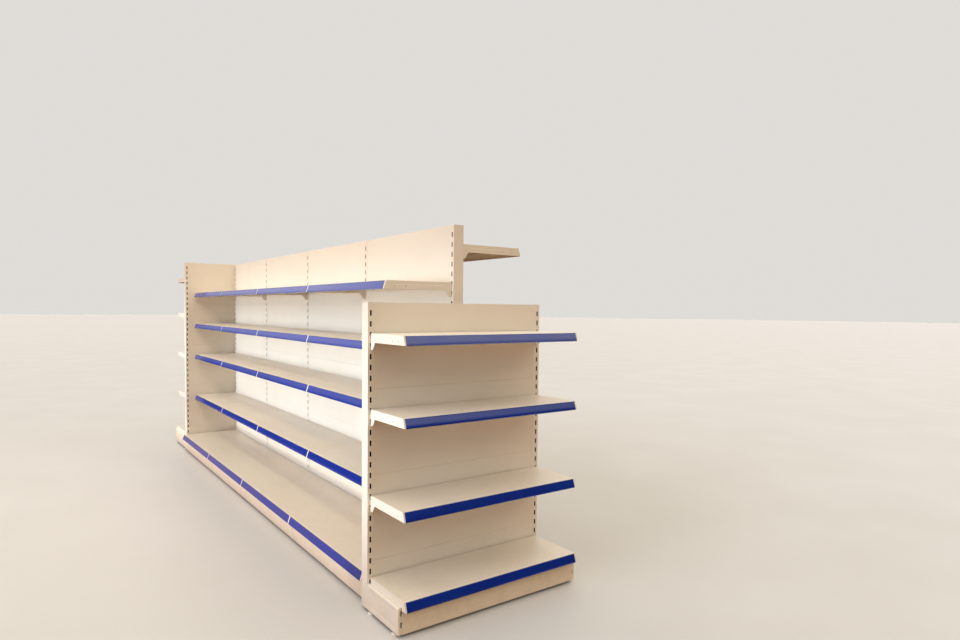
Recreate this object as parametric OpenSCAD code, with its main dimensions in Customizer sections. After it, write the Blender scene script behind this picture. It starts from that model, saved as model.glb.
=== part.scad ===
// Double-sided shop shelving: a spine of bays with shelves on both sides,
// a low end bay across its near end and a tall end bay across its far end.
// All sizes are in millimetres. The shelving runs along Y and stands on Z = 0.

/* [Bays] */
// Centre distance of the two uprights of a bay
bay_w = 1000; // [665:5:1250]
// Number of bays along the spine
bays = 4; // [1:1:6]

/* [Heights] */
// Top of the spine and of the far end bay above the floor
run_h = 1840; // [1790:50:2240]
// Top of the near end bay above the floor
near_h = 1440; // [1390:50:2240]
// Height of the lowest of the upper shelves
low_level = 550; // [500:50:600]
// Rise from each of the lower shelves to the next
level_step = 400; // [300:50:400]
// Depth of the highest shelves below the top of the spine
top_shelf_drop = 90; // [90:10:150]
// Height of the bottom back panels
low_panel_h = 215; // [150:5:300]
// Height of the other back panels
panel_h = 400; // [300:50:500]

/* [Depths] */
// Depth of the base shelves of the spine
run_base_depth = 470; // [370:10:570]
// Depth of the upper shelves of the spine
run_shelf_depth = 370; // [270:10:470]
// Depth of all the shelves of the near end bay
near_depth = 300; // [250:10:470]
// Depth of the base shelf of the far end bay
far_depth = 470; // [370:10:570]
// How much shallower the far end bay's upper shelves are than its base shelf
far_step = 100; // [0:10:200]
// How far left of the spine's middle the near end bay stands
near_shift = 20; // [0:1:30]
// How far right of the spine's middle the far end bay stands
far_shift = 20; // [0:1:30]

/* [Uprights] */
// Width of an upright along its bay
upright_w = 30; // [26:1:40]
// Depth of an upright across the spine
upright_d = 60; // [50:1:80]
// Wall of an upright
upright_t = 2; // [1.5:0.1:3]
// Pitch of the slots
slot_pitch = 50; // [48:1:60]
// Width of a slot, which takes the hooks of two neighbouring brackets
slot_w = 8; // [7:0.1:9]
// Height of a slot
slot_h = 25; // [24:0.5:30]

/* [Shelves] */
// Sheet of the shelves, the panels and the plinths
sheet_t = 1.5; // [1:0.1:2]
// Height of the sloping shelf front
apron_h = 42; // [41:1:55]
// Slope of the shelf front from upright, in degrees
apron_tilt = 18; // [0:1:20]
// How far the upper shelves overhang their nominal depth
shelf_overhang = 5; // [0:1:10]
// How far the base shelves overhang their nominal depth
base_overhang = 20; // [16:1:30]
// Plate of the shelf brackets
bracket_t = 3; // [2:0.1:3.2]
// How far the ticket strip wraps back under the shelf front
strip_return = 6; // [3:0.5:9]
// Depth of the ticket strip
strip_d = 2.5; // [2.2:0.1:4]

/* [Base] */
// Height of the levelling feet
foot_h = 15; // [12:1:35]
// Radius of a levelling foot
foot_r = 19; // [15:1:25]
// Height of the base legs
leg_h = 120; // [115:1:140]
// Sheet of the base legs
leg_t = 2; // [1.5:0.1:3]

/* [Hidden] */

$fn = 40;

// Colours of the painted steel, the ticket strips and the feet
cream = [0.90, 0.86, 0.78];
strip_blue = [0.05, 0.12, 0.55];
foot_cream = [0.86, 0.80, 0.72];

// Slots, counted up from the lowest
first_slot_up = 25;
first_slot_z = foot_h + first_slot_up;
top_margin = 50;
shelf_rise = 7;
function slot_z(n) = first_slot_z + slot_pitch * n;
function slot_count(h) = floor((h - top_margin - first_slot_z) / slot_pitch) + 1;

// Shelf tops: each goes to the slot nearest to its level
end_top_drop = 140;
left_top_drop = 290;
left_top_step = 300;
second_level = low_level + level_step;
third_level = second_level + level_step;
near_levels = [low_level, second_level, near_h - end_top_drop];
left_levels = [low_level, second_level, run_h - left_top_drop - left_top_step, run_h - left_top_drop];
right_levels = [low_level, second_level, third_level, run_h - top_shelf_drop];
far_levels = [low_level, second_level, third_level, run_h - end_top_drop];
function shelf_z(level) = slot_z(round((level - first_slot_z - shelf_rise) / slot_pitch)) + shelf_rise;

// Clearances: loose pieces side by side, hooks in their slots, and bays standing end to end
seat_gap = 0.3;
hook_gap = 0.2;
butt_gap = 0.5;

// Hooks that pass through a wall and drop behind it
hook_neck_h = 12;
hook_tongue_t = 5;
hook_tongue_drop = 8;

// Base legs: a nose short of the nominal depth, rounded top edges and pressed sides
leg_short = 2;
leg_round = 9;
leg_top_z = foot_h + leg_h;
leg_press = 2.5;
leg_press_slope = 7;
leg_rim = 15;
leg_slot_h = 24;
leg_slot_up = 30;
leg_slot_z = foot_h + leg_slot_up;
leg_slot_pitch = 50;
foot_from_face = 22;
foot_from_nose = 48;
foot_plate_l = 36;
foot_taper = 2;
foot_disc_h = foot_h * 0.4;
foot_stem_r = 5;
foot_nut_r = 9.5;
foot_nut_h = foot_h * 0.35;
function foot_places(depth) = [foot_from_face, depth - leg_short - foot_from_nose];

// Base shelf on top of the legs
base_lip = 28;
base_top_z = leg_top_z + base_lip;
base_end_gap = 0.5;

// Plinth in front of the legs
plinth_reach = 4;
plinth_lift = 1;
plinth_low_z = foot_h + plinth_lift;
plinth_below_apron = 7;
plinth_top_z = base_top_z - apron_h - plinth_below_apron;
plinth_fold = 12;
plinth_end_gap = 3;
plinth_fold_gap = 1;
plinth_tab_t = 2;

// Shelf pans
pan_rear_gap = 3;
pan_rear_fold = 22;
pan_end_fold = 18;
pan_fold_gap = 2;
rib_w = 60;
rib_d = 15;
apron_return = 12;
apron_wrap = 24;
apron_run = apron_h * tan(apron_tilt);
apron_wall = sheet_t / cos(apron_tilt);

// Brackets
bracket_side_gap = 0.2;
bracket_flange_w = 12;
bracket_heel = 5.5;
bracket_drop = shelf_rise + slot_h / 2 + slot_pitch + bracket_heel;
bracket_root_w = 42;
bracket_toe_w = 24;
bracket_toe_r = 9;
bead_from_top = 12;
bead_w = 7;
bead_d = 1;
bead_margin = 14;

// Ticket strips on the shelf fronts
strip_from_top = 2;
strip_wall = 1.2;
strip_lip = 2.2;
strip_end_gap = 9;
strip_low = apron_h + hook_gap + strip_wall;
strip_h = strip_low / cos(apron_tilt) - strip_from_top;
strip_reach = strip_d * cos(apron_tilt) + (strip_from_top + strip_h) * sin(apron_tilt);

// Back panels: shallow trays hung between the uprights
panel_recess = 2;
panel_d = 16;
panel_gap = 0.4;
least_panel_h = 60;
panel_lift = 10;
panel_low_z = foot_h + panel_lift;

// Places along the run, with Y = 0 halfway between the two end bays' base shelf fronts
half_bay = bay_w / 2;
near_reach = near_depth + base_overhang + strip_reach;
far_reach = far_depth + base_overhang + strip_reach;
spine_l = bays * bay_w + upright_w;
total_l = near_reach + far_reach + 2 * upright_d + 2 * butt_gap + spine_l;
near_face_y = near_reach - total_l / 2;
first_upright_y = near_face_y + upright_d + butt_gap + upright_w / 2;
far_face_y = total_l / 2 - far_reach;
function bay_y(b) = first_upright_y + bay_w * (b + 0.5);

// Places for one side of a bay: X runs along the bay, Y outwards from the upright's face
module near_side() translate([-near_shift, near_face_y, 0]) rotate([0, 0, 180]) children();
module far_side() translate([far_shift, far_face_y, 0]) children();
module left_side(b) translate([-upright_d / 2, bay_y(b), 0]) rotate([0, 0, 90]) children();
module right_side(b) translate([upright_d / 2, bay_y(b), 0]) rotate([0, 0, -90]) children();
module each_left_bay() for (b = [0 : bays - 1]) left_side(b) children();
module each_right_bay() for (b = [0 : bays - 1]) right_side(b) children();

// A section drawn in depth and height, extruded along the bay
module along_bay(from, to) translate([from, 0, 0]) rotate([90, 0, 90]) linear_extrude(to - from) children();

// A section drawn across the bay and in height, extruded outwards
module outwards(from, to) translate([0, to, 0]) rotate([90, 0, 0]) linear_extrude(to - from) children();

// A piece and its mirror image at the other end of the bay
module both_ends() {
  children();
  mirror([1, 0, 0]) children();
}

// An upright: a closed tube with a column of slots in its front and in its rear
module upright(h) {
  color(cream) difference() {
    translate([-upright_w / 2, -upright_d / 2, foot_h])
      cube([upright_w, upright_d, h - foot_h]);
    translate([-upright_w / 2 + upright_t, -upright_d / 2 + upright_t, foot_h - 1])
      cube([upright_w - 2 * upright_t, upright_d - 2 * upright_t, h - foot_h - upright_t + 1]);
    for (n = [0 : slot_count(h) - 1])
      translate([-slot_w / 2, -upright_d / 2 - 1, slot_z(n) - slot_h / 2])
        cube([slot_w, upright_d + 2, slot_h]);
  }
}

// A hook in depth and height: its neck rests on a slot's lower edge and its tongue hangs behind the wall
module hook(wall, sill_z) {
  polygon([
    [seat_gap, sill_z + hook_gap], [seat_gap, sill_z + hook_neck_h],
    [-wall - seat_gap - hook_tongue_t, sill_z + hook_neck_h],
    [-wall - seat_gap - hook_tongue_t, sill_z - hook_tongue_drop],
    [-wall - seat_gap, sill_z - hook_tongue_drop], [-wall - seat_gap, sill_z + hook_gap]
  ]);
}

// A pressed panel in the side at +X of a leg: a flat floor with sloping edges, grown by the sheet inside
module leg_pressing(nose, half_w, grow) {
  low_z = foot_h + leg_rim - grow;
  high_z = leg_top_z - leg_rim + grow;
  floor_x = half_w - leg_press - grow;
  intersection() {
    outwards(leg_rim - grow, nose - leg_rim + grow)
      polygon([
        [half_w + 1, low_z], [half_w, low_z], [floor_x, low_z + leg_press_slope],
        [floor_x, high_z - leg_press_slope], [half_w, high_z], [half_w + 1, high_z]
      ]);
    linear_extrude(leg_top_z)
      polygon([
        [half_w + 1, leg_rim - grow], [half_w, leg_rim - grow], [floor_x, leg_rim - grow + leg_press_slope],
        [floor_x, nose - leg_rim + grow - leg_press_slope], [half_w, nose - leg_rim + grow],
        [half_w + 1, nose - leg_rim + grow]
      ]);
  }
}

// Section of a box with rounded top edges, across the bay and in height
module rounded_top(half_w, low_z, high_z, r) {
  translate([-half_w, low_z]) square([2 * half_w, high_z - r - low_z]);
  translate([-half_w + r, low_z]) square([2 * (half_w - r), high_z - low_z]);
  for (s = [-1, 1]) translate([s * (half_w - r), high_z - r]) circle(r);
}

// A base leg: a channel open at the bottom, which hooks into the upright's two lowest slots
module base_leg(depth) {
  nose = depth - leg_short;
  half_w = upright_w / 2;
  color(cream) difference() {
    union() {
      difference() {
        outwards(seat_gap, nose) rounded_top(half_w, foot_h, leg_top_z, leg_round);
        outwards(seat_gap + leg_t, nose - leg_t)
          rounded_top(half_w - leg_t, foot_h - 1, leg_top_z - leg_t, leg_round - leg_t);
      }
      both_ends() intersection() {
        leg_pressing(nose, half_w, leg_t);
        outwards(seat_gap, nose) rounded_top(half_w, foot_h, leg_top_z, leg_round);
      }
      for (y = foot_places(depth))
        translate([-half_w + leg_t / 2, y - foot_plate_l / 2, foot_h])
          cube([upright_w - leg_t, foot_plate_l, leg_t]);
      for (n = [0, 1])
        along_bay(-bracket_t / 2, bracket_t / 2) hook(upright_t, slot_z(n) - slot_h / 2);
    }
    both_ends() leg_pressing(nose, half_w, 0);
    for (n = [0, 1])
      translate([-slot_w / 2, nose - leg_t - 1, leg_slot_z + leg_slot_pitch * n])
        cube([slot_w, leg_t + 2, leg_slot_h]);
  }
}

// A levelling foot: a disc, a stem and the nut that the leg rests on
module foot() {
  color(foot_cream) {
    cylinder(h = foot_disc_h, r1 = foot_r, r2 = foot_r - foot_taper);
    cylinder(h = foot_h, r = foot_stem_r);
    translate([0, 0, foot_h - foot_nut_h]) cylinder(h = foot_nut_h, r = foot_nut_r, $fn = 6);
  }
}

module leg_feet(depth) for (y = foot_places(depth)) translate([0, y, 0]) foot();

// The two legs of a single bay, and their feet
module bay_legs(depth) for (s = [-1, 1]) translate([s * half_bay, 0, 0]) base_leg(depth);
module bay_feet(depth) for (s = [-1, 1]) translate([s * half_bay, 0, 0]) leg_feet(depth);

// A plinth: a folded sheet whose end tabs hook into the noses of the legs
module plinth(depth) {
  leg_face = depth - leg_short;
  front = leg_face + plinth_reach;
  end_x = half_bay - plinth_end_gap;
  fold_x = half_bay - upright_w / 2 - plinth_fold_gap;
  color(cream) {
    along_bay(-end_x, end_x)
      translate([front - sheet_t, plinth_low_z]) square([sheet_t, plinth_top_z - plinth_low_z]);
    for (z = [plinth_low_z, plinth_top_z - sheet_t])
      along_bay(-fold_x, fold_x)
        translate([front - plinth_fold, z]) square([plinth_fold - sheet_t / 2, sheet_t]);
    both_ends() for (n = [0, 1]) {
      sill_z = leg_slot_z + leg_slot_pitch * n;
      along_bay(end_x - plinth_tab_t, end_x) {
        translate([leg_face + seat_gap / 2, sill_z + hook_gap])
          square([front - sheet_t / 2 - leg_face - seat_gap / 2, hook_neck_h - hook_gap]);
        translate([leg_face, 0]) hook(leg_t, sill_z);
      }
    }
  }
}

// Section of a shelf pan in depth and height, with its top at zero
module pan_section(front) {
  translate([pan_rear_gap, -sheet_t]) square([front - pan_rear_gap - sheet_t / 2, sheet_t]);
  translate([pan_rear_gap, -pan_rear_fold]) square([sheet_t, pan_rear_fold]);
  apron_front(front);
}

// Section of the stiffening channel under the middle of a pan
module rib_section(front) {
  translate([(front - rib_w) / 2, -rib_d]) difference() {
    square([rib_w, rib_d - sheet_t / 2]);
    translate([sheet_t, sheet_t]) square([rib_w - 2 * sheet_t, rib_d]);
  }
}

// The sloping front of a pan, and its folded lower edge
module apron_front(front) {
  polygon([
    [front - apron_wall, 0], [front, 0], [front + apron_run, -apron_h],
    [front + apron_run - apron_wall, -apron_h]
  ]);
  translate([front + apron_run - apron_return, -apron_h])
    square([apron_return - apron_wall / 2, sheet_t]);
}

// An upper shelf pan, laid between its two brackets, with a front that wraps round their ends
module shelf_pan(depth) {
  front = depth + shelf_overhang;
  half_w = half_bay - bracket_side_gap - bracket_t - seat_gap;
  fold_x = half_w - bracket_flange_w - pan_fold_gap;
  color(cream) {
    along_bay(-half_w, half_w) pan_section(front);
    along_bay(-fold_x + sheet_t / 2, fold_x - sheet_t / 2) rib_section(front);
    both_ends() along_bay(fold_x - sheet_t, fold_x)
      translate([pan_rear_gap, -pan_end_fold])
        square([front - pan_rear_gap - sheet_t, pan_end_fold - sheet_t / 2]);
    both_ends() along_bay(half_w - sheet_t, half_bay - bracket_side_gap) apron_front(front);
    both_ends() along_bay(half_bay - bracket_side_gap - sheet_t, half_bay - bracket_side_gap)
      polygon([
        [front - apron_wrap, 0], [front, 0], [front + apron_run, -apron_h], [front - apron_wrap, -apron_h]
      ]);
    both_ends() along_bay(half_w - sheet_t, half_bay - bracket_side_gap)
      translate([front - apron_wrap, -sheet_t]) square([apron_wrap - sheet_t / 2, sheet_t]);
  }
}

module shelf(depth, level) translate([0, 0, shelf_z(level)]) shelf_pan(depth);

// A base shelf: a pan whose folded ends stand on the legs and close the ends of its front
module base_shelf(depth) {
  front = depth + base_overhang;
  half_w = half_bay - base_end_gap;
  nose = depth - leg_short + plinth_reach;
  color(cream) translate([0, 0, base_top_z]) {
    along_bay(-half_w, half_w) pan_section(front);
    along_bay(-half_w + upright_w / 2, half_w - upright_w / 2) rib_section(front);
    both_ends() along_bay(half_w - sheet_t, half_w)
      polygon([
        [pan_rear_gap, 0], [front, 0], [front + apron_run, -apron_h],
        [nose, -apron_h], [nose, -base_lip], [pan_rear_gap, -base_lip]
      ]);
  }
}

// Outline of a bracket in depth and height: the arm, its tapered foot with a round toe, and the two hooks
module bracket_outline(front) {
  toe_x = bracket_toe_w - bracket_toe_r;
  toe_z = -bracket_drop + bracket_toe_r;
  arm_l = front - apron_wrap - butt_gap;
  to_root = [bracket_root_w - toe_x, -apron_h - toe_z];
  tangent = atan2(to_root.y, to_root.x) - acos(bracket_toe_r / norm(to_root));
  translate([seat_gap, -apron_h]) square([arm_l - seat_gap, apron_h]);
  polygon([
    [seat_gap, -apron_h], [bracket_root_w, -apron_h],
    [toe_x + bracket_toe_r * cos(tangent), toe_z + bracket_toe_r * sin(tangent)],
    [toe_x, toe_z], [seat_gap, toe_z]
  ]);
  translate([seat_gap, -bracket_drop]) square([toe_x - seat_gap, bracket_toe_r]);
  translate([toe_x, toe_z]) circle(bracket_toe_r);
  for (n = [0, 1]) hook(upright_t, -shelf_rise - slot_h / 2 - slot_pitch * n);
}

// A stiffening bead pressed into a bracket's arm: its section across the bay, at one face of the plate
module bead(face, front) {
  outwards(bracket_root_w, front - apron_wrap - bead_margin)
    polygon([
      [face, -bead_from_top], [face - bead_d, -bead_from_top - bead_d],
      [face - bead_d, -bead_from_top - bead_w + bead_d], [face, -bead_from_top - bead_w],
      [face + bead_d, -bead_from_top - bead_w], [face + bead_d, -bead_from_top]
    ]);
}

// The bracket at the far end of a bay: a plate with a flange that the pan rests on
module bracket(depth) {
  front = depth + shelf_overhang;
  outer = half_bay - bracket_side_gap;
  inner = outer - bracket_t;
  color(cream) {
    difference() {
      union() {
        along_bay(inner, outer) bracket_outline(front);
        bead(inner, front);
      }
      bead(outer, front);
    }
    along_bay(inner - bracket_flange_w, inner + bracket_t / 2)
      translate([bracket_toe_r, -sheet_t - bracket_t / 2])
        square([front - apron_wrap - bracket_toe_w, bracket_t / 2]);
  }
}

module bay_brackets(depth, levels)
  for (level = levels) translate([0, 0, shelf_z(level)]) both_ends() bracket(depth);

// Section of a ticket strip, laid against the sloping shelf front and wrapped under its lower edge
module strip_section() {
  rotate(apron_tilt) {
    translate([hook_gap, -strip_from_top - strip_h]) square([strip_wall, strip_h]);
    for (s = [-strip_from_top - strip_wall, -strip_from_top - strip_h])
      translate([hook_gap, s]) square([strip_d - hook_gap, strip_wall]);
    translate([strip_d - strip_wall, -strip_from_top - strip_lip]) square([strip_wall, strip_lip]);
    translate([strip_d - strip_wall, -strip_from_top - strip_h]) square([strip_wall, strip_lip]);
  }
  translate([apron_run - strip_return, -strip_low]) square([strip_return + strip_d / 2, strip_wall]);
}

module ticket_strip(front, top_z)
  color(strip_blue) along_bay(-half_bay + strip_end_gap, half_bay - strip_end_gap)
    translate([front, top_z]) strip_section();

module bay_strips(base_depth, shelf_depth, levels) {
  ticket_strip(base_depth + base_overhang, base_top_z);
  for (level = levels) ticket_strip(shelf_depth + shelf_overhang, shelf_z(level));
}

// One side's stack of back panels, from near the floor to the top of the uprights
module back_panels(h) {
  half_w = half_bay - upright_w / 2 - seat_gap;
  space = h - panel_low_z - low_panel_h;
  full = floor(space / panel_h);
  rest = space - full * panel_h;
  color(cream) {
    panel_tray(half_w, panel_low_z, low_panel_h - panel_gap);
    for (i = [0 : full - 1])
      panel_tray(half_w, panel_low_z + low_panel_h + i * panel_h, panel_h - panel_gap);
    if (rest > least_panel_h)
      panel_tray(half_w, h - rest, rest - panel_gap);
  }
}

module panel_tray(half_w, z, h) {
  difference() {
    translate([-half_w, -panel_recess - panel_d, z]) cube([2 * half_w, panel_d, h]);
    translate([-half_w + sheet_t, -panel_recess - panel_d - 1, z + sheet_t])
      cube([2 * (half_w - sheet_t), panel_d + 1 - sheet_t, h - 2 * sheet_t]);
  }
}

// The rear of an end bay, which has panels but no shelves
module rear_of_bay() translate([0, -upright_d, 0]) rotate([0, 0, 180]) children();

// The two uprights of an end bay
module bay_uprights(h)
  for (s = [-1, 1]) translate([s * half_bay, -upright_d / 2, 0]) upright(h);

// Each joint of the spine, where two bays meet at an upright
module each_joint() for (i = [0 : bays]) translate([0, first_upright_y + bay_w * i, 0]) children();
module left_of_joint() translate([-upright_d / 2, 0, 0]) rotate([0, 0, 90]) children();
module right_of_joint() translate([upright_d / 2, 0, 0]) rotate([0, 0, -90]) children();

module near_end_uprights() near_side() bay_uprights(near_h);
module near_end_front_panels() near_side() back_panels(near_h);
module near_end_rear_panels() near_side() rear_of_bay() back_panels(near_h);
module near_end_base_legs() near_side() bay_legs(near_depth);
module near_end_plinth() near_side() plinth(near_depth);
module near_end_base_shelf() near_side() base_shelf(near_depth);
module near_end_shelf_low() near_side() shelf(near_depth, near_levels[0]);
module near_end_shelf_middle() near_side() shelf(near_depth, near_levels[1]);
module near_end_shelf_top() near_side() shelf(near_depth, near_levels[2]);
module near_end_brackets() near_side() bay_brackets(near_depth, near_levels);
module near_end_ticket_strips() near_side() bay_strips(near_depth, near_depth, near_levels);

module spine_uprights() each_joint() rotate([0, 0, 90]) upright(run_h);
module spine_panels_left() each_left_bay() back_panels(run_h);
module spine_panels_right() each_right_bay() back_panels(run_h);
module levelling_feet() {
  near_side() bay_feet(near_depth);
  each_joint() left_of_joint() leg_feet(run_base_depth);
  each_joint() right_of_joint() leg_feet(run_base_depth);
  far_side() bay_feet(far_depth);
}

module left_base_legs() each_joint() left_of_joint() base_leg(run_base_depth);
module left_plinths() each_left_bay() plinth(run_base_depth);
module left_base_shelves() each_left_bay() base_shelf(run_base_depth);
module left_shelves(i) each_left_bay() shelf(run_shelf_depth, left_levels[i]);
module left_brackets() each_left_bay() bay_brackets(run_shelf_depth, left_levels);
module left_ticket_strips() each_left_bay() bay_strips(run_base_depth, run_shelf_depth, left_levels);

module right_base_legs() each_joint() right_of_joint() base_leg(run_base_depth);
module right_plinths() each_right_bay() plinth(run_base_depth);
module right_base_shelves() each_right_bay() base_shelf(run_base_depth);
module right_shelves(i) each_right_bay() shelf(run_shelf_depth, right_levels[i]);
module right_brackets() each_right_bay() bay_brackets(run_shelf_depth, right_levels);
module right_ticket_strips() each_right_bay() bay_strips(run_base_depth, run_shelf_depth, right_levels);

module far_end_uprights() far_side() bay_uprights(run_h);
module far_end_front_panels() far_side() back_panels(run_h);
module far_end_rear_panels() far_side() rear_of_bay() back_panels(run_h);
module far_end_base_legs() far_side() bay_legs(far_depth);
module far_end_plinth() far_side() plinth(far_depth);
module far_end_base_shelf() far_side() base_shelf(far_depth);
module far_end_shelf(i) far_side() shelf(far_depth - far_step, far_levels[i]);
module far_end_brackets() far_side() bay_brackets(far_depth - far_step, far_levels);
module far_end_ticket_strips() far_side() bay_strips(far_depth, far_depth - far_step, far_levels);

near_end_uprights();
near_end_front_panels();
near_end_rear_panels();
near_end_base_legs();
near_end_plinth();
near_end_base_shelf();
near_end_shelf_low();
near_end_shelf_middle();
near_end_shelf_top();
near_end_brackets();
near_end_ticket_strips();
spine_uprights();
spine_panels_left();
spine_panels_right();
levelling_feet();
left_base_legs();
left_plinths();
left_base_shelves();
left_shelves(0);  // left_shelves_1
left_shelves(1);  // left_shelves_2
left_shelves(2);  // left_shelves_3
left_shelves(3);  // left_shelves_4
left_brackets();
left_ticket_strips();
right_base_legs();
right_plinths();
right_base_shelves();
right_shelves(0);  // right_shelves_1
right_shelves(1);  // right_shelves_2
right_shelves(2);  // right_shelves_3
right_shelves(3);  // right_shelves_4
right_brackets();
right_ticket_strips();
far_end_uprights();
far_end_front_panels();
far_end_rear_panels();
far_end_base_legs();
far_end_plinth();
far_end_base_shelf();
far_end_shelf(0);  // far_end_shelf_1
far_end_shelf(1);  // far_end_shelf_2
far_end_shelf(2);  // far_end_shelf_3
far_end_shelf(3);  // far_end_shelf_4
far_end_brackets();
far_end_ticket_strips();
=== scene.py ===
# %% [markdown]
# Double-sided shop shelving is folded sheet steel hung on slotted posts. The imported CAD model
# already has every fold, slot and hook in its real place, so this lesson keeps that frame fixed
# and adds what a drawing leaves out: rounded folds, paint, ticket rails, feet and rivets.

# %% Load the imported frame
import math

import bpy
from mathutils import Matrix, Vector


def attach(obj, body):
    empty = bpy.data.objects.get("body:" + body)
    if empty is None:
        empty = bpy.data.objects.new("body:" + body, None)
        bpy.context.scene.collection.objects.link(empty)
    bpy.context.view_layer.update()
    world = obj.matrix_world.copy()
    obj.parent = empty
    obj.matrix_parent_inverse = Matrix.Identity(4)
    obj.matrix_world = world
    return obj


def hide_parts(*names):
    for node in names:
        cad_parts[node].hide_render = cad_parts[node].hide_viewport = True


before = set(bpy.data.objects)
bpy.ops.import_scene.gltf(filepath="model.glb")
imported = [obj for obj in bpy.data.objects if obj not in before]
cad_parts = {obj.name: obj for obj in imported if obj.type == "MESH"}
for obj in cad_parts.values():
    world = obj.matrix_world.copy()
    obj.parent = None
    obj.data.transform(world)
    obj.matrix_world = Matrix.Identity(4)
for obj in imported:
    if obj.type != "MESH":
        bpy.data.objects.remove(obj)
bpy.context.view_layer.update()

# %% [markdown]
# The camera stands off the near end, at eye level and a little to the left. A lens could be
# guessed and nudged until the picture fits. Here it was measured, as a focal length in pixels of
# a picture 960 pixels wide, so the numbers stay as they came out.

# %% Camera at the photograph's angle
PICTURE_WIDTH, FOCAL_PIXELS = 960, 644.4
EYE = Vector((-1.8363, -4.8434, 1.4104))
YAW, PITCH, ROLL = (math.radians(angle) for angle in (35.758, -2.264, 0.531))
SHIFT_UP, FAR_LIMIT = 0.0156, 500

level = math.cos(PITCH)
look = Vector((math.sin(YAW) * level, math.cos(YAW) * level, math.sin(PITCH)))
turn = look.to_track_quat("-Z", "Y").to_matrix().to_4x4() @ Matrix.Rotation(ROLL, 4, "Z")

camera = bpy.data.objects.new("camera", bpy.data.cameras.new("camera"))
bpy.context.scene.collection.objects.link(camera)
camera.matrix_world = Matrix.Translation(EYE) @ turn
camera.data.lens = camera.data.sensor_width * FOCAL_PIXELS / PICTURE_WIDTH
camera.data.shift_y = SHIFT_UP
camera.data.clip_end = FAR_LIMIT
bpy.context.scene.camera = camera
print("lens:", round(camera.data.lens, 2), "mm")

# %% [markdown]
# Pieces are worked on one at a time, as by hand. Every operator acts on whatever is selected, and
# loading leaves the CAD nodes selected, so each step first leaves only its own piece selected.
# Faces and corners are then picked by their place or by the way they face, because their numbers
# change with every cut.

# %% Choose a piece and open it
def choose(*pieces):
    """Leaves only these objects selected, with the first one active."""
    bpy.ops.object.select_all(action="DESELECT")
    for piece in pieces:
        piece.select_set(True)
    bpy.context.view_layer.objects.active = pieces[0]


def edit(piece, element="FACE"):
    """Opens a piece in edit mode with nothing selected."""
    choose(piece)
    bpy.ops.object.mode_set(mode="EDIT")
    bpy.ops.mesh.select_mode(type=element)
    bpy.ops.mesh.select_all(action="DESELECT")


def close_edit():
    """Leaves edit mode, which also writes the changes to the mesh."""
    bpy.ops.object.mode_set(mode="OBJECT")


# %% Pick faces or corners, and apply modifiers
def pick(piece, element, wanted):
    """In edit mode, selects the faces or corners for which wanted(item) is true.

    Edges and corners that the step before left selected stay so, and an extrude takes them along.
    """
    close_edit()
    for item in piece.data.polygons if element == "FACE" else piece.data.vertices:
        item.select = wanted(item)
    bpy.ops.object.mode_set(mode="EDIT")
    bpy.ops.mesh.select_mode(type=element)


def apply_modifiers(piece):
    """Turns a piece's modifiers into real faces."""
    choose(piece)
    for modifier in list(piece.modifiers):
        bpy.ops.object.modifier_apply(modifier=modifier.name)


# %% [markdown]
# A CAD node arrives as loose triangles, and it stays as it is. A bevel needs real edges and whole
# faces, so the work is done on a copy, whose corners are welded and whose flat faces are joined.
# The same copy, taken apart, tells where each separate solid of a node stands.

# %% Copy and weld a CAD node
WELD, FLAT_ANGLE = 0.00002, math.radians(0.5)


def welded_copy(node, name):
    """A new object with a CAD node's shape, welded and with its flat faces whole."""
    piece = bpy.data.objects.new(name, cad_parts[node].data.copy())
    bpy.context.scene.collection.objects.link(piece)
    piece.data.materials.clear()
    edit(piece)
    bpy.ops.mesh.select_all(action="SELECT")
    bpy.ops.mesh.customdata_custom_splitnormals_clear()
    bpy.ops.mesh.remove_doubles(threshold=WELD)
    bpy.ops.mesh.dissolve_limited(angle_limit=FLAT_ANGLE)
    close_edit()
    return piece


# %% Measure the solids of a CAD node
def solids_of(node):
    """The lowest and highest corner of each separate solid in a CAD node."""
    welded = welded_copy(node, "measured_" + node)
    edit(welded)
    bpy.ops.mesh.select_all(action="SELECT")
    bpy.ops.mesh.separate(type="LOOSE")
    close_edit()
    boxes = []
    for part in list(bpy.context.selected_objects):
        boxes.append((Vector(part.bound_box[0]), Vector(part.bound_box[6])))
        bpy.data.objects.remove(part)
    return sorted(boxes, key=lambda box: tuple(round(value, 4) for value in box[0]))


# %% [markdown]
# Materials are nodes joined by links. Written out, each node takes many lines, so a few helpers
# make one and feed its inputs in a single line, with either a plain value or a link.

# %% Make a node and feed it
def feed(tree, socket, value):
    """Links an input to another node's output, or sets it to a number or colour."""
    if isinstance(value, bpy.types.NodeSocket):
        tree.links.new(value, socket)
    else:
        socket.default_value = value


def give(tree, inputs, **values):
    """Feeds inputs by name, where an underscore stands for a space."""
    for name, value in values.items():
        feed(tree, inputs[name.replace("_", " ")], value)


def add(tree, kind, **values):
    """A shader node of some kind, with its inputs fed."""
    node = tree.nodes.new("ShaderNode" + kind)
    give(tree, node.inputs, **values)
    return node


def calculate(tree, operation, *terms, clamp=True):
    """The result of a Math node, kept between 0 and 1 unless clamp is off."""
    node = tree.nodes.new("ShaderNodeMath")
    node.operation, node.use_clamp = operation, clamp
    for socket, term in zip(node.inputs, terms):
        feed(tree, socket, term)
    return node.outputs[0]


# %% Mix colours and stretch values
MIX_INPUTS, MIX_RESULT = (0, 6, 7), 2


def mixed(tree, factor, first, second):
    """One colour laid over another by a factor."""
    node = tree.nodes.new("ShaderNodeMix")
    node.data_type = "RGBA"
    for index, value in zip(MIX_INPUTS, (factor, first, second)):
        feed(tree, node.inputs[index], value)
    return node.outputs[MIX_RESULT]


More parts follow.
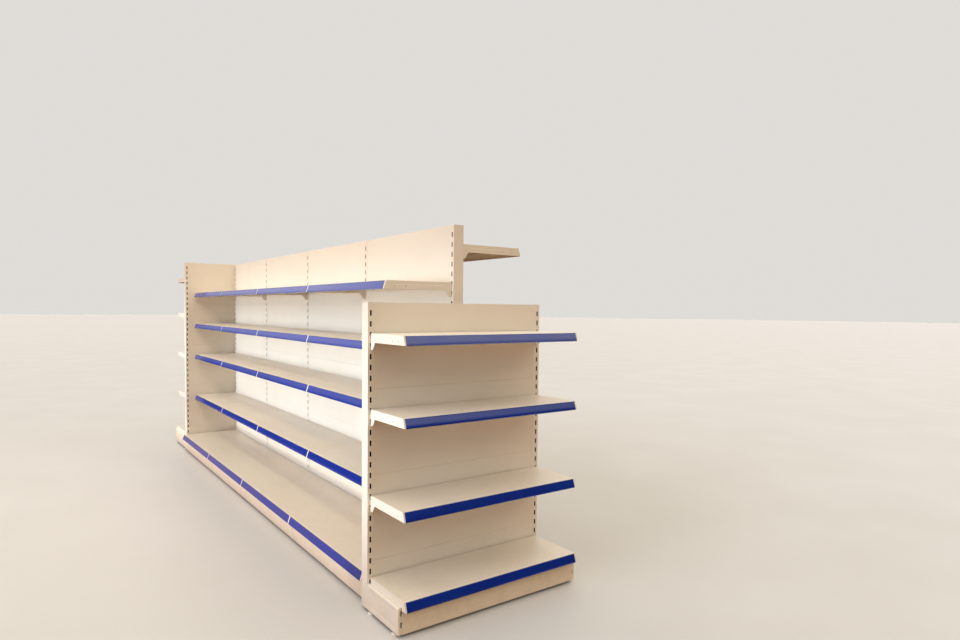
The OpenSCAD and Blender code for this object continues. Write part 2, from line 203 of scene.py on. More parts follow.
def ramp(tree, value, low, high, to_low=0.0, to_high=1.0):
    """A value's stretch from low to high, turned into to_low to to_high."""
    stretch = add(tree, "MapRange", Value=value, From_Min=low, From_Max=high,
                  To_Min=to_low, To_Max=to_high)
    return stretch.outputs["Result"]


# %% [markdown]
# An effect that several materials share, such as dust, is built once as a node group with named
# inputs. Each material then only says how strong it is there, and all of them stay alike.

# %% Make and place node groups
NUMBER = "NodeSocketFloat"


def new_group(name, inputs, output):
    """An empty node group, with what it is given and the inputs of its result."""
    group = bpy.data.node_groups.new(name, "ShaderNodeTree")
    for socket_name, value in inputs.items():
        socket = group.interface.new_socket(socket_name, in_out="INPUT", socket_type=NUMBER)
        socket.default_value = value
    group.interface.new_socket(output, in_out="OUTPUT", socket_type=NUMBER)
    given = group.nodes.new("NodeGroupInput").outputs
    return group, given, group.nodes.new("NodeGroupOutput").inputs


def place_group(tree, group, **values):
    """Places a group in a material with that material's values, and returns its outputs."""
    node = tree.nodes.new("ShaderNodeGroup")
    node.node_tree = group
    give(tree, node.inputs, **values)
    return node.outputs


# %% [markdown]
# Powder coat is sprayed on as a dry powder and baked, which leaves a fine orange peel. It could
# be a picture of real paint, but noise on object coordinates, in metres, has the right size on
# every piece and shows no seam. A fine grain and longer waves make up half of it each.

# %% Orange peel
HALF = 0.5
orange_peel, given, result = new_group("orange_peel", {"Grain": 900.0, "Waves": 90.0}, "Height")
where = add(orange_peel, "TexCoord").outputs["Object"]
grain = add(orange_peel, "TexNoise", Vector=where, Scale=given["Grain"], Detail=1.0)
waves = add(orange_peel, "TexNoise", Vector=where, Scale=given["Waves"], Detail=0.0)
faint = calculate(orange_peel, "MULTIPLY", waves.outputs["Fac"], HALF)
height = calculate(orange_peel, "MULTIPLY_ADD", grain.outputs["Fac"], HALF, faint)
give(orange_peel, result, Height=height)
print("orange peel:", len(orange_peel.nodes), "nodes")

# %% [markdown]
# Powder also settles a little unevenly over a large sheet, and paint yellows in patches. A soft
# cloud of noise gives a mask for that. How large and how strong the clouds are is left to each
# material.

# %% Mottle
CLOUD_RANGE = (0.35, 0.65)
mottle, given, result = new_group("mottle", {"Size": 2.0, "Contrast": 1.0}, "Mask")
where = add(mottle, "TexCoord").outputs["Object"]
cloud = add(mottle, "TexNoise", Vector=where, Scale=given["Size"], Detail=3.0, Roughness=0.55)
spread = ramp(mottle, cloud.outputs["Fac"], *CLOUD_RANGE)
give(mottle, result, Mask=calculate(mottle, "MULTIPLY", spread, given["Contrast"]))
print("mottle:", len(mottle.nodes), "nodes")

# %% [markdown]
# Dust lies only on what faces up. It could be painted on piece by piece, but a mask made from the
# surface's own direction finds every ledge by itself, and noise breaks it up.

# %% Settled dust
UPWARD_RANGE, PATCH_RANGE = (0.75, 0.98), (0.3, 0.9)
dust, given, result = new_group("settled_dust", {"Strength": 0.3}, "Mask")
direction = add(dust, "NewGeometry").outputs["Normal"]
upward = add(dust, "SeparateXYZ", Vector=direction).outputs["Z"]
where = add(dust, "TexCoord").outputs["Object"]
patches = add(dust, "TexNoise", Vector=where, Scale=30.0, Detail=5.0, Roughness=0.65)
lying = calculate(dust, "MULTIPLY", ramp(dust, upward, *UPWARD_RANGE),
                  ramp(dust, patches.outputs["Fac"], *PATCH_RANGE))
give(dust, result, Mask=calculate(dust, "MULTIPLY", lying, given["Strength"]))
print("settled dust:", len(dust.nodes), "nodes")

# %% [markdown]
# Shoes and cleaning mark only what is near the floor, and less with every centimetre. So the mask
# for scuffs comes from the height above the floor, and noise turns it into smudges.

# %% Floor scuffs
SMUDGE_RANGE = (0.45, 0.85)
scuffs, given, result = new_group("floor_scuffs", {"Reach": 0.16, "Strength": 0.4}, "Mask")
where = add(scuffs, "TexCoord").outputs["Object"]
height = add(scuffs, "SeparateXYZ", Vector=where).outputs["Z"]
low_down = ramp(scuffs, height, 0.0, given["Reach"], 1.0, 0.0)
smudges = add(scuffs, "TexNoise", Vector=where, Scale=22.0, Detail=6.0, Roughness=0.7)
marked = calculate(scuffs, "MULTIPLY", low_down,
                   ramp(scuffs, smudges.outputs["Fac"], *SMUDGE_RANGE))
give(scuffs, result, Mask=calculate(scuffs, "MULTIPLY", marked, given["Strength"]))
print("floor scuffs:", len(scuffs.nodes), "nodes")

# %% [markdown]
# The painted steel is one finish in five moods: clean panels, shelves that gather dust, legs that
# stand near the floor, plinths made darker and browner as painted shade for the warm light the
# floor throws back, and folds made lighter as a painted highlight, with some rubbed wear. One
# function makes them all. The shader stays in each material, and only masks, colours and a height
# reach it.

# %% A recipe for painted steel
PEEL_STRENGTH = 0.35
CLOUD_ON_GLOSS = 0.6
DUST_COLOUR, SCUFF_COLOUR = (0.46, 0.40, 0.32, 1), (0.30, 0.27, 0.23, 1)
NEW_GLOSS, RUBBED_GLOSS, WORN_GLOSS = (0.38, 0.5), (0.3, 0.45), (0.42, 0.58)


def shader_of(name, **constants):
    """A new material's tree and shader; what is the same all over is set on its own sockets."""
    material = bpy.data.materials.new(name)
    material.use_nodes = True
    tree = material.node_tree
    shader = tree.nodes["Principled BSDF"]
    give(tree, shader.inputs, **constants)
    return material, tree, shader


def peel_normal(tree, height, depth):
    """A height turned into a normal."""
    bump = add(tree, "Bump", Height=height, Strength=PEEL_STRENGTH, Distance=depth)
    return bump.outputs["Normal"]


def painted_steel(name, paint, shade, dustiness, scuffing, gloss=NEW_GLOSS):
    """Powder-coated sheet steel, from its colour, its shade in patches and its wear."""
    material, tree, shader = shader_of(name, Specular_IOR_Level=0.45)
    cloudy = place_group(tree, mottle, Size=2.3, Contrast=1.0)["Mask"]
    dusty = place_group(tree, dust, Strength=dustiness)["Mask"]
    scuffed = place_group(tree, scuffs, Strength=scuffing)["Mask"]
    colour = mixed(tree, cloudy, paint, shade)
    colour = mixed(tree, dusty, colour, DUST_COLOUR)
    colour = mixed(tree, scuffed, colour, SCUFF_COLOUR)
    dull = calculate(tree, "MAXIMUM", dusty, calculate(tree, "MULTIPLY", cloudy, CLOUD_ON_GLOSS))
    peel = place_group(tree, orange_peel)["Height"]
    give(tree, shader.inputs, Base_Color=colour, Roughness=ramp(tree, dull, 0.0, 1.0, *gloss),
         Normal=peel_normal(tree, peel, 0.0006))
    return material


# %% The five moods of painted steel
CREAM, AGED_CREAM = (0.81, 0.735, 0.635, 1), (0.785, 0.705, 0.60, 1)
# The plinths' darker, browner cream is painted shade for the floor's warm bounce. The lighter
# cream after it is a painted highlight for the folds, with some rubbed wear.
PLINTH_SHADED_CREAM, PLINTH_SHADED_AGED_CREAM, FOLD_HIGHLIGHT_CREAM = (0.80, 0.695, 0.565, 1), (0.775, 0.665, 0.53, 1), (0.84, 0.775, 0.68, 1)

panel_paint = painted_steel("painted_steel_panels", CREAM, AGED_CREAM, 0.1, 0.2)
shelf_paint = painted_steel("painted_steel_shelves", CREAM, AGED_CREAM, 0.16, 0.2)
base_paint = painted_steel("painted_steel_base", CREAM, AGED_CREAM, 0.2, 0.4, WORN_GLOSS)
# Painted shade: the plinths are darker and browner, as the floor's warm bounce makes them look.
plinth_shaded_paint = painted_steel("painted_steel_plinths_painted_shade", PLINTH_SHADED_CREAM, PLINTH_SHADED_AGED_CREAM, 0.2, 0.4, WORN_GLOSS)
# The folds' lighter cream is a painted highlight along every edge, with some rubbed wear.
fold_highlight_paint = painted_steel("painted_steel_edges_highlight_and_wear", FOLD_HIGHLIGHT_CREAM, CREAM, 0.0, 0.3, RUBBED_GLOSS)
paints = (panel_paint, shelf_paint, base_paint, plinth_shaded_paint, fold_highlight_paint)
print("painted steel:", [paint.name for paint in paints])

# %% [markdown]
# Powder can't reach the inside of a closed tube, so the steel there is bare, but what shows behind
# the slots is mostly shade. The wall behind the slots and the slots' own edges get a plain, nearly
# black colour without shine. This is painted shade of the post's hollow, and the column of slots
# reads as a row of dark marks. Real steel is metallic, but a metallic shader would mirror the
# bright sky back out of the slots.

# %% Painted shade inside the posts
# Nearly black and without shine: painted shade for the post's hollow behind the slots.
HOLLOW_SHADE, HOLLOW_SHADE_PATCHES = (0.016, 0.011, 0.008, 1), (0.028, 0.019, 0.013, 1)
hollow_shade, tree, shader = shader_of("painted_shade_inside_posts", Metallic=0.0, Specular_IOR_Level=0.0)
cloudy = place_group(tree, mottle, Size=40.0, Contrast=1.0)["Mask"]
give(tree, shader.inputs, Base_Color=mixed(tree, cloudy, HOLLOW_SHADE, HOLLOW_SHADE_PATCHES),
     Roughness=ramp(tree, cloudy, 0.0, 1.0, 0.6, 0.8))
print(hollow_shade.name, "nodes:", len(tree.nodes))

# %% [markdown]
# A sheet-metal fold is never a sharp corner. The panel pressed into a leg's side turns by less
# than a fold, and a press leaves a wider radius there. Its edges are found by how far they turn,
# more than the facets of a curve and less than a fold. They get a bevel weight, so that a bevel
# rounds them alone.

# %% Round the pressed edges of the legs
FOLD_ANGLE, PRESSED_ANGLE = math.radians(40), math.radians(15)
PRESSED_RADIUS, PRESSED_STEPS = 0.0025, 3


def round_pressing(piece):
    """Rounds the edges that turn by more than a curve's facets and less than a fold."""
    edit(piece, "EDGE")
    bpy.ops.mesh.edges_select_sharp(sharpness=PRESSED_ANGLE)
    bpy.ops.transform.edge_bevelweight(value=1)
    bpy.ops.mesh.select_all(action="DESELECT")
    bpy.ops.mesh.edges_select_sharp(sharpness=FOLD_ANGLE)
    bpy.ops.transform.edge_bevelweight(value=-1)
    close_edit()
    bevel = piece.modifiers.new("pressing", "BEVEL")
    bevel.limit_method, bevel.width, bevel.segments = "WEIGHT", PRESSED_RADIUS, PRESSED_STEPS
    apply_modifiers(piece)


# %% [markdown]
# The folds could be rounded in the CAD model, but a Bevel modifier finds them all on the welded
# copy, leaves the flats alone and rounds each by about the sheet's own thickness. The new faces
# get their own slot, with a lighter cream: a painted highlight along every fold, with some rubbed
# wear. Faces that lie deeper inside a post's box than a set depth belong to the wall behind the
# slots or to the slots' edges, and get the painted shade of the hollow.

# %% A recipe for a rounded sheet
FOLD_HIGHLIGHT_SLOT, HOLLOW_SHADE_SLOT = 1, 2
SHADE_DEPTH = 0.0003
FOLD_STEPS = 2


def shade_inside(piece, tubes):
    """Gives painted shade to the faces that lie deeper inside a tube's box than a set depth."""
    for face in piece.data.polygons:
        for low, high in tubes:
            if all(low[axis] + SHADE_DEPTH < face.center[axis] < high[axis] - SHADE_DEPTH
                   for axis in range(3)):
                face.material_index = HOLLOW_SHADE_SLOT


def rounded_sheet(node, paint, radius, tubes=()):
    """A copy of a CAD node with rounded folds, which takes the node's place."""
    piece = welded_copy(node, node + "_painted")
    for material in (paint, fold_highlight_paint, hollow_shade):
        piece.data.materials.append(material)
    if "legs" in node:
        round_pressing(piece)
    bevel = piece.modifiers.new("folds", "BEVEL")
    bevel.limit_method, bevel.angle_limit = "ANGLE", FOLD_ANGLE
    bevel.width, bevel.segments = radius, FOLD_STEPS
    bevel.use_clamp_overlap = False
    bevel.harden_normals = True
    # The bevel's faces take the painted highlight of the folds.
    bevel.material = FOLD_HIGHLIGHT_SLOT
    for face in piece.data.polygons:
        face.use_smooth = True
    apply_modifiers(piece)
    # The wall behind the slots and the slots' edges get the painted shade of the hollow.
    shade_inside(piece, tubes)
    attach(piece, "root")
    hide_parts(node)
    return piece


# %% Round and paint every sheet
SHEET_RADIUS, POST_RADIUS, LEG_RADIUS = 0.0005, 0.0006, 0.0009
FINISHES = (
    ("panels", panel_paint, SHEET_RADIUS),
    ("uprights", panel_paint, POST_RADIUS),
    ("shel", shelf_paint, SHEET_RADIUS),  # found in shelf and in shelves
    ("brackets", shelf_paint, SHEET_RADIUS),
    ("legs", base_paint, LEG_RADIUS),
    ("plinth", plinth_shaded_paint, SHEET_RADIUS),
)


def triangles_of(piece):
    """How many triangles a piece's faces make."""
    return sum(len(face.vertices) - 2 for face in piece.data.polygons)


triangles = []
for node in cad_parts:
    for word, paint, radius in FINISHES:
        if word in node:
            tubes = solids_of(node) if word == "uprights" else ()
            triangles.append(triangles_of(rounded_sheet(node, paint, radius, tubes)))
            break
print("rounded sheets:", len(triangles), "triangles:", sum(triangles), "most:", max(triangles))

# %% [markdown]
# The ticket rail is an extruded plastic strip with a blue ticket band behind a clear cover. The
# cover could be a thin mesh of its own. The shader's coat gives the same gloss over the band
# without a second surface, and a mottle makes it a little hazy and worn.

# %% Materials of the ticket rails
WEAR, CLEAR, HAZY = 0.4, 1.0, 0.85


def rail_plastic(name, colour, faded, roughness):
    """Satin plastic under a clear cover, which the shader's coat stands for."""
    material, tree, shader = shader_of(name, Specular_IOR_Level=0.05, Coat_Roughness=0.08,
                                       Coat_IOR=1.5)
    cloudy = place_group(tree, mottle, Size=5.0, Contrast=1.0)["Mask"]
    worn = place_group(tree, mottle, Size=160.0, Contrast=WEAR)["Mask"]
    faint = calculate(tree, "MAXIMUM", cloudy, worn)
    peel = place_group(tree, orange_peel, Grain=300.0, Waves=40.0)["Height"]
    give(tree, shader.inputs, Base_Color=mixed(tree, faint, colour, faded),
         Roughness=ramp(tree, worn, 0.0, WEAR, *roughness),
         Coat_Weight=ramp(tree, cloudy, 0.0, 1.0, CLEAR, HAZY),
         Normal=peel_normal(tree, peel, 0.0002))
    return material


band_blue = rail_plastic("ticket_band_blue", (0.001, 0.018, 0.225, 1),
                         (0.002, 0.024, 0.265, 1), (0.4, 0.5))
lip_blue = rail_plastic("ticket_rail_lips", (0.002, 0.025, 0.235, 1),
                        (0.004, 0.033, 0.275, 1), (0.3, 0.42))
print("rail plastics:", band_blue.name, lip_blue.name)

# %% [markdown]
# The rail lies on the sloping shelf front and wraps back under its lower edge, so a thin blue
# line shows even from behind. Its profile could be swept along a curve, but a long thin box
# already has the right ends. It stands upright at first, with its back against Y = 0 and its top
# just under Z = 0, because straight faces are easy to pick.

# %% Start one rail as a long thin box
TILT = math.radians(18)
RAIL_FROM_TOP, RAIL_DEPTH, RAIL_BEHIND = 0.002, 0.0025, 0.0002
FRONT_HEIGHT, WRAP_BELOW, WRAP_BACK, WRAP_SHEET = 0.042, 0.0014, 0.006, 0.0012
LIP_HEIGHT, LIP_FORWARD, BOW = 0.0022, 0.0006, 0.0002

rail_height = (FRONT_HEIGHT + WRAP_BELOW) / math.cos(TILT) - RAIL_FROM_TOP
rail_body = RAIL_DEPTH - LIP_FORWARD - RAIL_BEHIND
middle = -RAIL_FROM_TOP - rail_height / 2
low, high = solids_of("near_end_ticket_strips")[0]

bpy.ops.object.select_all(action="DESELECT")
bpy.ops.mesh.primitive_cube_add(size=1, location=(0, RAIL_BEHIND + rail_body / 2, middle))
rail = bpy.context.object
rail.name = "rail"
rail.scale = (high.x - low.x, rail_body, rail_height)
bpy.ops.object.transform_apply(location=True, rotation=True, scale=True)
print("rail: length", round(high.x - low.x, 4), "height", round(rail_height, 4))

# %% [markdown]
# The box is cut along its length, so that its two lips can be drawn forward, its foot can be
# drawn back under the shelf front, and its front can bow a little, as the real strip does between
# its lips. One flaw is left in: the outlines of the lips are still selected when the foot is drawn
# back, so an open tube of faces follows it behind each lip, and which way those faces point can
# change from run to run. Deselecting everything before each pick would avoid them.

# %% Cut the rail and draw out its lips, foot and bow
BAND_CUTS = (-0.5, -0.3, -0.1, 0.1, 0.3, 0.5)
STRAIGHT, TOUCH = 0.9, 1e-5

band_height = rail_height - 2 * LIP_HEIGHT
foot_top = middle - rail_height / 2 + WRAP_SHEET
front = RAIL_BEHIND + rail_body
cuts = [middle + band_height * share for share in BAND_CUTS]

edit(rail)
for cut in cuts + [foot_top]:
    bpy.ops.mesh.select_all(action="SELECT")
    bpy.ops.mesh.bisect(plane_co=(0, 0, cut), plane_no=(0, 0, 1))
pick(rail, "FACE", lambda face: face.normal.y > STRAIGHT
     and abs(face.center.z - middle) > band_height / 2)
bpy.ops.mesh.extrude_region_move(TRANSFORM_OT_translate={"value": (0, LIP_FORWARD, 0)})
pick(rail, "FACE", lambda face: face.normal.y < -STRAIGHT and face.center.z < foot_top)
back = Matrix.Rotation(-TILT, 4, "X") @ Vector((0, -WRAP_BACK, 0))
bpy.ops.mesh.extrude_region_move(TRANSFORM_OT_translate={"value": back})
for cut in cuts[1:-1]:
    bulge = BOW * (1 - ((cut - middle) / (band_height / 2)) ** 2)
    pick(rail, "VERT", lambda corner: abs(corner.co.z - cut) < TOUCH
         and abs(corner.co.y - front) < TOUCH)
    bpy.ops.transform.translate(value=(0, bulge, 0))
close_edit()
print("rail:", len(rail.data.polygons), "faces")

# %% [markdown]
# The faces between the lips carry the ticket band, and the rest is the rail's own plastic. A
# small bevel is meant to round the lips, but beside the extra faces its overlap limit leaves it
# no width, so the lips stay sharp. The finished rail is tilted back by the same 18 degrees as the
# sloping shelf front.

# %% Finish the rail
LIP_RADIUS, LIP_STEPS = 0.0003, 2

for material in (lip_blue, band_blue):
    rail.data.materials.append(material)
for face in rail.data.polygons:
    in_band = face.normal.y > STRAIGHT and abs(face.center.z - middle) < band_height / 2
    face.material_index = int(in_band)
    face.use_smooth = True
bevel = rail.modifiers.new("lips", "BEVEL")
bevel.limit_method, bevel.angle_limit = "ANGLE", FOLD_ANGLE
bevel.width, bevel.segments, bevel.harden_normals = LIP_RADIUS, LIP_STEPS, True
apply_modifiers(rail)
rail.data.transform(Matrix.Rotation(TILT, 4, "X"))
print("finished rail:", triangles_of(rail), "triangles")

# %% [markdown]
# Every shelf has the same rail, so one is modelled and the rest are copies. Each copy is moved to
# where the CAD model has its strip, found from the box of that strip, and the rails of one side
# are joined to one piece.

# %% Copy, join and reach
FACING = {"near_end": 180, "far_end": 0, "left": 90, "right": -90}


def copy_at(model, place, name):
    """A copy of a modelled piece with its own mesh, moved by a matrix."""
    copy = bpy.data.objects.new(name, model.data.copy())
    bpy.context.scene.collection.objects.link(copy)
    copy.data.transform(place)
    return copy


def joined(name, copies):
    """Several meshes made one piece."""
    choose(*copies)
    bpy.ops.object.join()
    whole = bpy.context.object
    whole.name = name
    return whole


def way_out(angle):
    """The level way in which the shelves of a side turned by this angle point."""
    turned = math.radians(angle)
    return Vector((-round(math.sin(turned)), round(math.cos(turned)), 0))


def reach(box, way):
    """How far a box reaches in some direction."""
    return max(corner.dot(way) for corner in box)


# %% Hang a rail on every shelf front
rail_low = min(vertex.co.z for vertex in rail.data.vertices)
rail_out = max(vertex.co.y for vertex in rail.data.vertices)
for side, angle in FACING.items():
    outward = way_out(angle)
    turned = Matrix.Rotation(math.radians(angle), 4, "Z")
    copies = []
    for low, high in solids_of(side + "_ticket_strips"):
        centre = (low + high) / 2
        spot = centre + outward * (reach((low, high), outward) - rail_out - centre.dot(outward))
        spot.z = low.z - rail_low
        copies.append(copy_at(rail, Matrix.Translation(spot) @ turned, "rail_copy"))
    count = len(copies)
    rails = joined(side + "_ticket_rails", copies)
    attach(rails, "root")
    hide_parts(side + "_ticket_strips")
    print(rails.name, count, "rails")
bpy.data.objects.remove(rail)

# %% [markdown]
# A levelling foot is a moulded disc that turns on a zinc-plated threaded stem, with a nut under
# the leg. The plastic is pale, with a little floor dirt low down, and the zinc is dull and
# cloudy.

# %% Materials of the feet
FOOT_PALE, FOOT_DULL = (0.92, 0.87, 0.82, 1), (0.87, 0.81, 0.75, 1)
FLOOR_DIRT = (0.25, 0.21, 0.17, 1)
ZINC_PALE, ZINC_DULL = (0.56, 0.55, 0.52, 1), (0.40, 0.39, 0.37, 1)

foot_plastic, tree, shader = shader_of("foot_plastic", Specular_IOR_Level=0.5)
cloudy = place_group(tree, mottle, Size=30.0, Contrast=1.0)["Mask"]
scuffed = place_group(tree, scuffs, Reach=0.03, Strength=0.25)["Mask"]
colour = mixed(tree, cloudy, FOOT_PALE, FOOT_DULL)
peel = place_group(tree, orange_peel, Grain=700.0)["Height"]
give(tree, shader.inputs, Base_Color=mixed(tree, scuffed, colour, FLOOR_DIRT),
     Roughness=ramp(tree, cloudy, 0.0, 1.0, 0.4, 0.55), Normal=peel_normal(tree, peel, 0.0003))

zinc, tree, shader = shader_of("zinc_plate", Metallic=0.9)
cloudy = place_group(tree, mottle, Size=120.0, Contrast=1.0)["Mask"]
give(tree, shader.inputs, Base_Color=mixed(tree, cloudy, ZINC_PALE, ZINC_DULL),
     Roughness=ramp(tree, cloudy, 0.0, 1.0, 0.35, 0.55))
print("finishes of the feet:", foot_plastic.name, zinc.name)

# %% [markdown]
# The disc starts as a cylinder, whose top is inset and drawn up into the hub and then the stem. A
# true thread would be a helix, too fine to be seen at this size, so the stem's rings are drawn in
# and out in turn.

# %% Model the disc and the threaded stem
FOOT_HEIGHT, FOOT_RADIUS, DISC_HEIGHT, STEM_RADIUS = 0.015, 0.019, 0.005, 0.005
DISC_SIDES, NUT_HEIGHT = 28, 0.0052
HUB_STEPS = ((0.004, 0.001), (0.006, 0.0015))
THREADS, THREAD_SHRINK = 4, 0.84


def new_cylinder(name, sides, radius, low, high):
    """An upright cylinder between two heights."""
    bpy.ops.object.select_all(action="DESELECT")
    bpy.ops.mesh.primitive_cylinder_add(vertices=sides, radius=radius, depth=high - low,
                                        location=(0, 0, (low + high) / 2))
    piece = bpy.context.object
    piece.name = name
    bpy.ops.object.transform_apply(location=True, rotation=True, scale=True)
    return piece


hub_top = DISC_HEIGHT + sum(rise for width, rise in HUB_STEPS)
hub_width = sum(width for width, rise in HUB_STEPS)
half_pitch = (FOOT_HEIGHT - NUT_HEIGHT - hub_top) / THREADS / 2

foot = new_cylinder("foot", DISC_SIDES, FOOT_RADIUS, 0, DISC_HEIGHT)
edit(foot)
pick(foot, "FACE", lambda face: face.normal.z > STRAIGHT)
for width, rise in HUB_STEPS:
    bpy.ops.mesh.inset(thickness=width, depth=rise)
bpy.ops.mesh.inset(thickness=FOOT_RADIUS - hub_width - STEM_RADIUS)
for shrink in (THREAD_SHRINK, 1 / THREAD_SHRINK) * THREADS:
    bpy.ops.mesh.extrude_region_move(TRANSFORM_OT_translate={"value": (0, 0, half_pitch)})
    bpy.ops.transform.resize(value=(shrink, shrink, 1))
close_edit()
print("foot:", len(foot.data.polygons), "faces")

# %% Add the nut and finish the foot
NUT_SIDES, NUT_RADIUS = 6, 0.0095
RIM_ANGLE, RIM_RADIUS, RIM_STEPS, SMOOTH_BELOW = math.radians(50), 0.0005, 2, math.radians(35)

for material in (foot_plastic, zinc):
    foot.data.materials.append(material)
for face in foot.data.polygons:
    face.material_index = int(face.center.z > hub_top)
nut = new_cylinder("nut", NUT_SIDES, NUT_RADIUS, FOOT_HEIGHT - NUT_HEIGHT, FOOT_HEIGHT)
for piece in (foot, nut):
    bevel = piece.modifiers.new("rim", "BEVEL")
    bevel.limit_method, bevel.angle_limit = "ANGLE", RIM_ANGLE
    bevel.width, bevel.segments = RIM_RADIUS, RIM_STEPS
    apply_modifiers(piece)
    choose(piece)
    bpy.ops.object.shade_smooth_by_angle(angle=SMOOTH_BELOW)
nut.data.materials.append(zinc)
foot = joined("foot", [foot, nut])
print("finished foot:", triangles_of(foot), "triangles")

# %% [markdown]
# The CAD model has a plain foot at each place, so the boxes of its solids say where the moulded
# ones go. They stand on the floor, under the two ends of every leg.

# %% Put a foot at every place
copies = []
for low, high in solids_of("levelling_feet"):
    centre = (low + high) / 2
    copies.append(copy_at(foot, Matrix.Translation((centre.x, centre.y, low.z)), "foot_copy"))
foot_count = len(copies)
feet = joined("levelling_feet_moulded", copies)
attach(feet, "root")
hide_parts("levelling_feet")
bpy.data.objects.remove(foot)
print("feet:", foot_count, "triangles:", triangles_of(feet))

# %% [markdown]
# Each bracket carries its flange on two rivets, and their low domes show on the plates that face
# outwards: at both end bays and at the two ends of each side. A rivet is a short cylinder, whose
# top is inset three times and raised a little less each time, which makes the dome.

# %% Model one rivet
RIVET_SIDES, RIVET_RADIUS, RIVET_HEIGHT = 16, 0.0034, 0.0009
DOME_STEPS = ((0.0007, 0.5), (0.0010, 0.35), (0.0009, 0.15))
DOME_SMOOTH_BELOW = math.radians(50)

half_height = RIVET_HEIGHT / 2
rivet = new_cylinder("rivet", RIVET_SIDES, RIVET_RADIUS, 0, half_height)
edit(rivet)
pick(rivet, "FACE", lambda face: face.normal.z > STRAIGHT)
for width, rise in DOME_STEPS:
    bpy.ops.mesh.inset(thickness=width, depth=half_height * rise)
close_edit()
rivet.data.materials.append(zinc)
choose(rivet)
bpy.ops.object.shade_smooth_by_angle(angle=DOME_SMOOTH_BELOW)
print("rivet:", triangles_of(rivet), "triangles")

# %% [markdown]
# Only the rivets that can be seen are made. On each side of the row, the outermost brackets at
# its two ends are the ones whose boxes reach furthest along it, and their plates carry the
# rivets. Both rivets sit near the shelf's front, at fixed shares of the bracket's length.

# %% Rivet the brackets that face outwards
RIVET_SHARES, RIVET_DROP = (0.76, 0.94), 0.026
SAME_PLANE = 0.001


def rivets_on(box, outward, facing):
    """The rivets of a bracket; outward points to its front, facing away from its plate."""
    rear, front = sorted(corner.dot(outward) for corner in box)
    turned = facing.to_track_quat("Z", "Y").to_matrix().to_4x4()
    for share in RIVET_SHARES:
        spot = outward * (rear + (front - rear) * share) + facing * reach(box, facing)
        spot.z = box[1].z - RIVET_DROP
        yield copy_at(rivet, Matrix.Translation(spot) @ turned, "rivet_copy")


copies = []
for side, angle in FACING.items():
    brackets = solids_of(side + "_brackets")
    outward = way_out(angle)
    for way in (-1, 1):
        facing = way * Vector((abs(outward.y), abs(outward.x), 0))
        furthest = max(reach(box, facing) for box in brackets)
        for box in brackets:
            if reach(box, facing) > furthest - SAME_PLANE:
                copies.extend(rivets_on(box, outward, facing))
rivet_count = len(copies)
rivets = joined("bracket_rivets", copies)
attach(rivets, "root")
bpy.data.objects.remove(rivet)
print("rivets:", rivet_count)

# %% [markdown]
# The stage is a plain floor that reaches to the horizon. It is pale to the camera, but what it
# throws back onto the row is a warm brown. A brown floor would do the same, but it would draw the
# eye away from the shelving.

# %% Floor
FLOOR_RADIUS, FLOOR_SIDES = 120, 64
FLOOR_PALE, FLOOR_SHADE = (0.66, 0.655, 0.655, 1), (0.65, 0.645, 0.645, 1)
WARM_BOUNCE = (0.40, 0.25, 0.14, 1)

bpy.ops.object.select_all(action="DESELECT")
bpy.ops.mesh.primitive_circle_add(vertices=FLOOR_SIDES, radius=FLOOR_RADIUS, fill_type="NGON",
                                  location=(0, 0, 0))
floor = bpy.context.object
floor.name = "floor"
floor_finish, tree, shader = shader_of("floor_finish", Specular_IOR_Level=0.3)
cloudy = place_group(tree, mottle, Size=1.2, Contrast=1.0)["Mask"]
seen = add(tree, "LightPath").outputs["Is Camera Ray"]
pale = mixed(tree, cloudy, FLOOR_PALE, FLOOR_SHADE)
give(tree, shader.inputs, Base_Color=mixed(tree, seen, WARM_BOUNCE, pale),
     Roughness=ramp(tree, cloudy, 0.0, 1.0, 0.5, 0.6))
floor.data.materials.append(floor_finish)
print("floor:", 2 * FLOOR_RADIUS, "m across")

# %% [markdown]
# A bright shop is lit from everywhere at once. Two suns with a wide disc give that soft light, a
# warm one from above and a cool one from the left. Three long soft boxes run along the row: a
# level, cool one, which whitens what faces left, a warm one overhead, and a low one that lights
# only the left plinths and the far legs.

# %% Soft lights
def light_at(lamp, place, facing):
    """Puts a lamp in the scene, turned the way it shines."""
    light = bpy.data.objects.new(lamp.name, lamp)
    bpy.context.scene.collection.objects.link(light)
    turned = Vector(facing).to_track_quat("-Z", "Y").to_matrix().to_4x4()
    light.matrix_world = Matrix.Translation(place) @ turned
    return light


def soft_sun(name, facing, spread, strength, colour):
    """A sun whose disc is so wide that its shadows are soft."""
    lamp = bpy.data.lights.new(name, "SUN")
    lamp.angle, lamp.energy, lamp.color = math.radians(spread), strength, colour
    light_at(lamp, (0, 0, 0), facing)


def soft_box(name, place, facing, size, power, colour, spread):
    """A long soft light along the row, seen neither by the camera nor in the rails."""
    lamp = bpy.data.lights.new(name, "AREA")
    lamp.shape, lamp.size, lamp.size_y = "RECTANGLE", *size
    lamp.energy, lamp.color, lamp.spread = power, colour, math.radians(spread)
    light = light_at(lamp, place, facing)
    light.visible_camera = light.visible_glossy = False


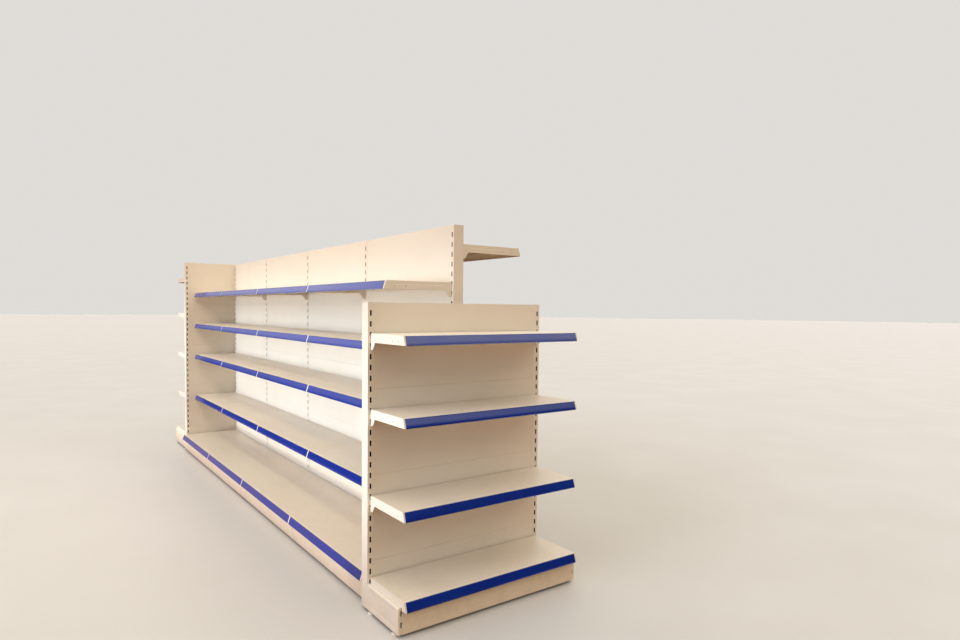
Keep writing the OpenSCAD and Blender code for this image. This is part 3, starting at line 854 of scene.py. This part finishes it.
soft_sun("sun_above", facing=(-0.15, 0.65, -1.0), spread=70, strength=0.66,
         colour=(1, 0.89, 0.74))
soft_sun("sun_left", facing=(1.0, -0.05, -0.45), spread=50, strength=1.14,
         colour=(0.85, 0.87, 1.0))
soft_box("box_level", place=(-3.0, 0.0, 0.9), facing=(1, 0, 0), size=(6.4, 1.2), power=23,
         colour=(0.74, 0.89, 1.0), spread=24)
soft_box("box_overhead", place=(-1.4, 0.0, 2.6), facing=(0.35, 0, -1), size=(4.0, 0.25),
         power=20, colour=(1.0, 0.88, 0.70), spread=180)
soft_box("box_low", place=(-1.7, 0.3, 0.07), facing=(1, 0, 0.10), size=(4.4, 0.12),
         power=2.3, colour=(1.0, 0.93, 0.87), spread=20)
print("lights:", sorted(light.name for light in bpy.data.lights))

# %% [markdown]
# The sky fills the shadows, and the ticket rails mirror it. It is dim low down and warm overhead,
# and darker to the left, where the lamps do the work. What the rails mirror is dark at eye level
# and bright higher up, so the upper rails go pale while the lower ones stay deep blue. The camera
# sees a plain backdrop instead.

# %% Sky
LEAN = 0.12
RISE_RANGE, LEFT_RANGE, AHEAD_RANGE = (0.17, 0.36), (0.35, 0.95), (0.2, 0.7)
LOW_SKY, HIGH_SKY, LEFT_SKY = (0.31, 0.31, 0.30, 1), (0.85, 0.76, 0.59, 1), (0.18, 0.165, 0.17, 1)
MIRRORED_LOW = (0.03, 0.03, 0.03, 1)
MIRRORED_NEAR, MIRRORED_AHEAD = (2.5, 2.43, 2.43, 1), (1.55, 1.45, 1.4, 1)
BACKDROP = (0.74, 0.72, 0.69, 1)

world = bpy.data.worlds.new("sky")
world.use_nodes = True
sky = world.node_tree
way = add(sky, "SeparateXYZ", Vector=add(sky, "TexCoord").outputs["Generated"]).outputs
leaning = calculate(sky, "MULTIPLY_ADD", way["Y"], LEAN, way["Z"], clamp=False)
rising = ramp(sky, leaning, *RISE_RANGE)
leftward = calculate(sky, "MULTIPLY", way["X"], -1.0, clamp=False)
lit = mixed(sky, rising, LOW_SKY, HIGH_SKY)
lit = mixed(sky, ramp(sky, leftward, *LEFT_RANGE), lit, LEFT_SKY)
bright = mixed(sky, ramp(sky, way["Y"], *AHEAD_RANGE), MIRRORED_NEAR, MIRRORED_AHEAD)
mirrored = mixed(sky, rising, MIRRORED_LOW, bright)
rays = add(sky, "LightPath").outputs
lit = mixed(sky, rays["Is Glossy Ray"], lit, mirrored)
give(sky, sky.nodes["Background"].inputs, Color=mixed(sky, rays["Is Camera Ray"], lit, BACKDROP))
bpy.context.scene.world = world
bpy.context.scene.view_settings.view_transform = "Standard"
print("sky:", len(sky.nodes), "nodes")
